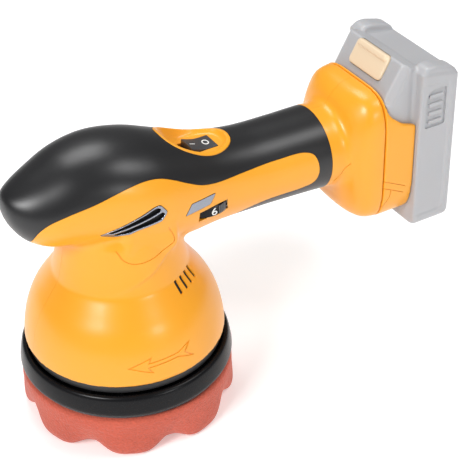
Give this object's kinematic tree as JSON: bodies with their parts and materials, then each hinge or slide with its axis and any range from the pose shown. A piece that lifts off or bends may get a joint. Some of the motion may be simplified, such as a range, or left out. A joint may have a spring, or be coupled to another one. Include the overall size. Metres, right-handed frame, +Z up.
{
  "type": "rotary polisher",
  "caption": "Cordless rotary polisher with a domed head, foam pad, planetary drive, soft-grip handle, rocker switch, speed dial and a slide-on battery pack.",
  "frame": {"origin": "centre of the pad working face, on the spindle axis", "axes": "+Z up along the spindle, +X along the handle from the head to the battery, -Y the side with the speed dial"},
  "size_m": [0.273, 0.125, 0.183],
  "materials": {
    "yellow_plastic": "glossy moulded plastic",
    "black_rubber": "satin soft overmould",
    "black_plastic": "fine grained",
    "grey_plastic": "satin",
    "cream_plastic": "satin",
    "red_foam": "open-cell foam",
    "loop_fabric": "brushed loop pile",
    "steel": "turned",
    "aluminium": "cast or pressed",
    "copper": "wound copper, lighter than solid",
    "ferrite": "sintered",
    "circuit_green": "solder mask",
    "cell_wrap": "shrink film over a cell"
  },
  "bodies": {
    "housing": {"body_shell_left": "yellow_plastic", "body_shell_right": "yellow_plastic", "switch_bezel": "yellow_plastic", "battery_receiver": "yellow_plastic", "grip_overmold_left": "black_rubber", "grip_overmold_right": "black_rubber", "dome_skirt": "black_rubber", "spindle_seal": "black_rubber", "vent_grille_left": "aluminium", "vent_grille_right": "aluminium", "side_badge_plate": "aluminium", "gear_case": "aluminium", "gear_cover": "aluminium", "switch_body": "black_plastic", "motor_end_cap": "black_plastic", "fan_shroud": "black_plastic", "terminal_block": "black_plastic", "rocker_pin": "steel", "motor_can": "steel", "ring_gear": "steel", "spindle_bearing_lower": "steel", "spindle_bearing_upper": "steel", "shell_screw_1": "steel", "shell_screw_2": "steel", "shell_screw_3": "steel", "shell_screw_4": "steel", "gear_case_screw_1": "steel", "gear_case_screw_2": "steel", "gear_case_screw_3": "steel", "dial_potentiometer": "circuit_green", "control_board": "circuit_green", "magnet_front": "ferrite", "magnet_rear": "ferrite", "carbon_brush_front": "ferrite", "carbon_brush_rear": "ferrite", "motor_bush_lower": "copper", "motor_bush_upper": "copper"},
    "spindle": {"output_spindle": "steel", "backing_plate": "black_plastic", "backing_plate_bolt": "steel", "hook_and_loop_disc": "loop_fabric", "foam_pad": "red_foam"},
    "rotor": {"motor_shaft": "steel", "armature_core": "copper", "commutator": "copper", "cooling_fan": "black_plastic", "sun_pinion": "steel"},
    "planet_1": {"planet_gear_1": "steel"},
    "planet_2": {"planet_gear_2": "steel"},
    "planet_3": {"planet_gear_3": "steel"},
    "rocker": {"rocker_switch": "black_plastic"},
    "dial": {"speed_dial": "black_plastic"},
    "battery": {"battery_case_front": "grey_plastic", "battery_case_rear": "grey_plastic", "battery_cell_1": "cell_wrap", "battery_cell_2": "cell_wrap", "battery_cell_3": "cell_wrap", "battery_cell_4": "cell_wrap", "battery_cell_5": "cell_wrap"},
    "latch": {"latch_button": "cream_plastic"}
  },
  "joints": [
    {"name": "spindle_spin", "type": "hinge", "parent": "housing", "child": "spindle", "pos_m": [0, 0, 0.031], "axis": [0, 0, 1], "continuous": true},
    {"name": "motor_spin", "type": "hinge", "parent": "housing", "child": "rotor", "pos_m": [0, 0, 0.0988], "axis": [0, 0, 1], "continuous": true},
    {"name": "planet_1_spin", "type": "hinge", "parent": "spindle", "child": "planet_1", "pos_m": [0.0135, 0, 0.0706], "axis": [0, 0, 1], "continuous": true},
    {"name": "planet_2_spin", "type": "hinge", "parent": "spindle", "child": "planet_2", "pos_m": [-0.00675, 0.01169, 0.0706], "axis": [0, 0, 1], "continuous": true},
    {"name": "planet_3_spin", "type": "hinge", "parent": "spindle", "child": "planet_3", "pos_m": [-0.00675, -0.01169, 0.0706], "axis": [0, 0, 1], "continuous": true},
    {"name": "rocker_tilt", "type": "hinge", "parent": "housing", "child": "rocker", "pos_m": [0.0527, 0, 0.1485], "axis": [0, -1, 0], "range_deg": [0, 20]},
    {"name": "dial_turn", "type": "hinge", "parent": "housing", "child": "dial", "pos_m": [0.046, -0.0135, 0.1238], "axis": [0, 0, -1], "range_deg": [0, 225]},
    {"name": "battery_slide", "type": "slide", "parent": "housing", "child": "battery", "axis": [0, 0, 1], "range_m": [0, 0.12]},
    {"name": "latch_press", "type": "slide", "parent": "battery", "child": "latch", "axis": [0.8613, 0, -0.5081], "range_m": [0, 0.003], "stiffness_N_per_m": 900, "springref_m": -0.001}
  ],
  "couplings": [
    {"joint": "motor_spin", "follows": "spindle_spin", "ratio": 4.5},
    {"joint": "planet_1_spin", "follows": "spindle_spin", "ratio": -2.8},
    {"joint": "planet_2_spin", "follows": "spindle_spin", "ratio": -2.8},
    {"joint": "planet_3_spin", "follows": "spindle_spin", "ratio": -2.8}
  ]
}
